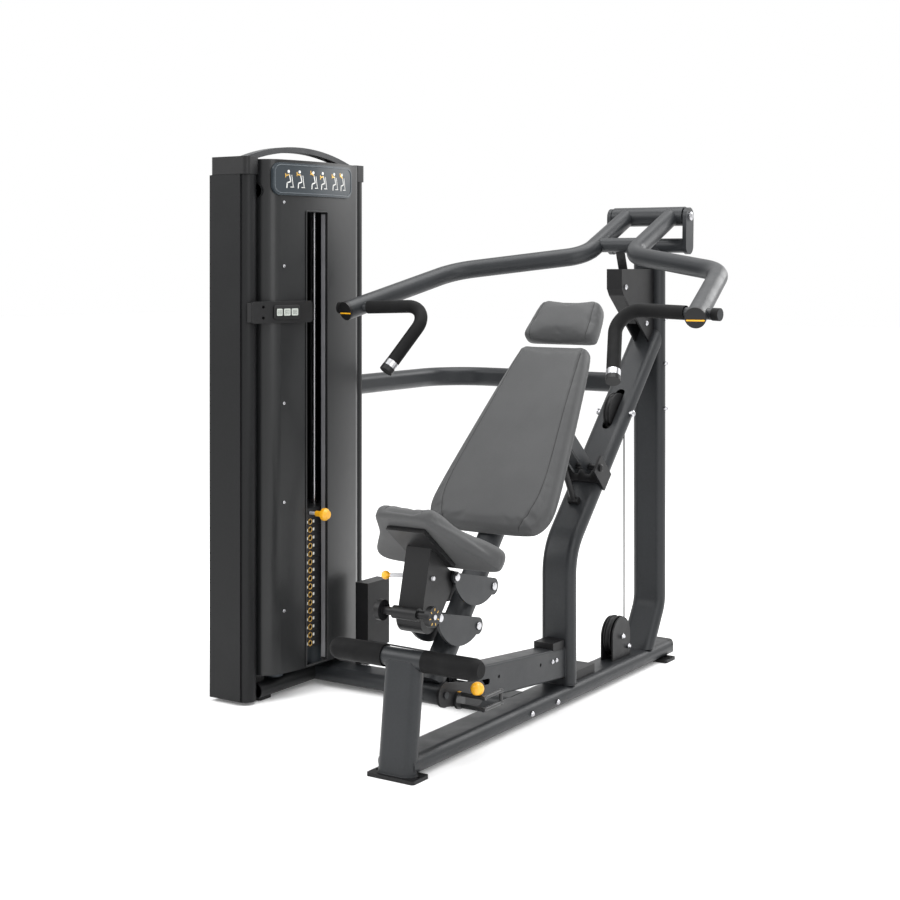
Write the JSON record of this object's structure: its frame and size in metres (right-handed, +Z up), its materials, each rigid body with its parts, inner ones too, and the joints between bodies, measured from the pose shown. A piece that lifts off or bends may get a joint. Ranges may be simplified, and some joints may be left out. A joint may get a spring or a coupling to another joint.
{
  "type": "chest press machine",
  "caption": "Selectorised incline chest press with a weight tower, two press arms and an adjustable reclined seat.",
  "frame": {"origin": "middle of the footprint on the floor", "axes": "+Z up, -Y is the way the user faces, the weight tower stands at -X"},
  "size_m": [1.58, 1.64, 1.7449],
  "materials": {
    "frame_paint": "satin powder coat",
    "black_paint": "satin powder coat",
    "black_plastic": "fine texture",
    "rubber": "matt",
    "shroud": "gloss",
    "placard": "satin",
    "steel": "chrome",
    "cable": "satin",
    "plate_iron": "satin",
    "yellow": "satin",
    "vinyl": "leather grain"
  },
  "bodies": {
    "frame": {"foot_plates": "black_paint", "front_post": "frame_paint", "foot_rest_tube": "frame_paint", "foot_rest_sleeves": "rubber", "main_base_front": "frame_paint", "main_base_rear": "frame_paint", "base_end_cap": "black_plastic", "cross_base_tube": "frame_paint", "rear_upright": "frame_paint", "back_rail": "frame_paint", "seat_base_tube": "frame_paint", "brace_tube": "frame_paint", "arm_yoke": "frame_paint", "arm_axle": "steel", "strap_housing": "black_paint", "tower_frame": "frame_paint", "side_panel": "black_paint", "tower_caps": "black_plastic", "carry_handle": "frame_paint", "user_shroud": "shroud", "outer_shroud": "shroud", "placard": "placard", "counter_bracket": "black_paint", "guide_rods": "steel", "stack_bumpers": "black_plastic", "weight_plates": "plate_iron", "lift_cable": "cable", "tower_pulley_box": "black_paint", "low_pulley_block": "black_paint", "pulley_guards": "black_paint", "drive_cables": "cable", "frame_bolts": "steel", "strut_bracket": "black_paint"},
    "arms": {"arm_pivot_tube": "frame_paint", "arm_left": "frame_paint", "arm_right": "frame_paint", "arm_spreader": "frame_paint", "arm_end_caps": "black_plastic", "handle_tubes": "frame_paint", "handle_grips": "rubber", "handle_rings": "steel", "handle_end_caps": "black_plastic"},
    "arm_strap": {"arm_strap": "cable"},
    "stack_head": {"stack_head": "plate_iron"},
    "selector_pin": {"selector_pin": "yellow"},
    "rail_pulley": {"rail_pulley": "black_plastic"},
    "base_pulley": {"base_pulley": "black_plastic"},
    "seat_sled": {"seat_sled": "black_paint"},
    "incline_pedal": {"incline_pedal": "black_paint"},
    "back_frame": {"back_column": "frame_paint", "back_pad": "vinyl", "head_pad": "vinyl"},
    "rail_carriage": {"rail_carriage": "black_paint"},
    "gas_cylinder": {"gas_cylinder": "black_paint"},
    "gas_rod": {"gas_rod": "steel"},
    "seat_links_upper": {"seat_links_upper": "frame_paint"},
    "seat_links_lower": {"seat_links_lower": "frame_paint"},
    "seat_carrier": {"seat_carrier": "black_paint", "seat_pad": "vinyl"},
    "seat_lever": {"seat_lever": "steel"}
  },
  "joints": [
    {"name": "arms_press", "type": "hinge", "parent": "frame", "child": "arms", "pos_m": [0.13, 0.738, 1.53], "axis": [-1, 0, 0], "range_deg": [0, 45]},
    {"name": "strap_swing", "type": "hinge", "parent": "arms", "child": "arm_strap", "pos_m": [0.13, 0.505, 1.43], "axis": [-1, 0, 0], "range_deg": [-33, 1]},
    {"name": "stack_lift", "type": "slide", "parent": "frame", "child": "stack_head", "axis": [0, 0, 1], "range_m": [0, 0.42], "deforming": ["lift_cable"]},
    {"name": "selector_pull", "type": "slide", "parent": "stack_head", "child": "selector_pin", "axis": [1, 0, 0], "range_m": [0, 0.07]},
    {"name": "rail_pulley_spin", "type": "hinge", "parent": "frame", "child": "rail_pulley", "pos_m": [0.13, 0.479, 0.872], "axis": [1, 0, 0], "range_deg": [-380, 380]},
    {"name": "base_pulley_spin", "type": "hinge", "parent": "frame", "child": "base_pulley", "pos_m": [0.13, 0.479, 0.132], "axis": [1, 0, 0], "range_deg": [-380, 380]},
    {"name": "sled_slide", "type": "slide", "parent": "frame", "child": "seat_sled", "axis": [0, 0.9959, -0.0906], "range_m": [0, 0.08]},
    {"name": "back_hinge", "type": "hinge", "parent": "seat_sled", "child": "back_frame", "pos_m": [0.13, -0.625, 0.19], "axis": [1, 0, 0], "range_deg": [0, 3.7]},
    {"name": "carriage_slide", "type": "slide", "parent": "frame", "child": "rail_carriage", "axis": [0, 0.6947, 0.7193], "range_m": [0, 0.066]},
    {"name": "strut_swing", "type": "hinge", "parent": "frame", "child": "gas_cylinder", "pos_m": [0.13, 0.19, 0.618], "axis": [1, 0, 0], "range_deg": [-8.8, 0]},
    {"name": "strut_extend", "type": "slide", "parent": "gas_cylinder", "child": "gas_rod", "axis": [0, -0.4969, 0.8678], "range_m": [0, 0.0155]},
    {"name": "pedal_press", "type": "hinge", "parent": "seat_sled", "child": "incline_pedal", "pos_m": [0.13, -0.562, 0.162], "axis": [-1, 0, 0], "range_deg": [0, 12], "stiffness_Nm_per_rad": 6, "springref_deg": -5.73},
    {"name": "seat_height", "type": "hinge", "parent": "back_frame", "child": "seat_links_upper", "pos_m": [0.13, -0.37917, 0.44536], "axis": [1, 0, 0], "range_deg": [-18, 12]},
    {"name": "seat_link_follow", "type": "hinge", "parent": "back_frame", "child": "seat_links_lower", "pos_m": [0.13, -0.46239, 0.3481], "axis": [1, 0, 0], "range_deg": [-18, 12]},
    {"name": "seat_level", "type": "hinge", "parent": "seat_links_upper", "child": "seat_carrier", "pos_m": [0.13, -0.5739, 0.50333], "axis": [1, 0, 0], "range_deg": [-12, 18]},
    {"name": "seat_lever_lift", "type": "hinge", "parent": "seat_carrier", "child": "seat_lever", "pos_m": [0.13, -0.675, 0.515], "axis": [-1, 0, 0], "range_deg": [0, 15], "stiffness_Nm_per_rad": 2, "springref_deg": -5.73}
  ],
  "couplings": [
    {"joint": "strap_swing", "follows": "arms_press", "ratio": -0.7},
    {"joint": "stack_lift", "follows": "arms_press", "m_per_rad": 0.5},
    {"joint": "rail_pulley_spin", "follows": "arms_press", "ratio": 8.2},
    {"joint": "base_pulley_spin", "follows": "arms_press", "ratio": 8.2},
    {"joint": "back_hinge", "follows": "sled_slide", "rad_per_m": 0.787},
    {"joint": "carriage_slide", "follows": "sled_slide", "ratio": 0.81},
    {"joint": "strut_swing", "follows": "sled_slide", "rad_per_m": -1.875},
    {"joint": "strut_extend", "follows": "sled_slide", "ratio": 0.18},
    {"joint": "seat_link_follow", "follows": "seat_height", "ratio": 1},
    {"joint": "seat_level", "follows": "seat_height", "ratio": -1}
  ]
}
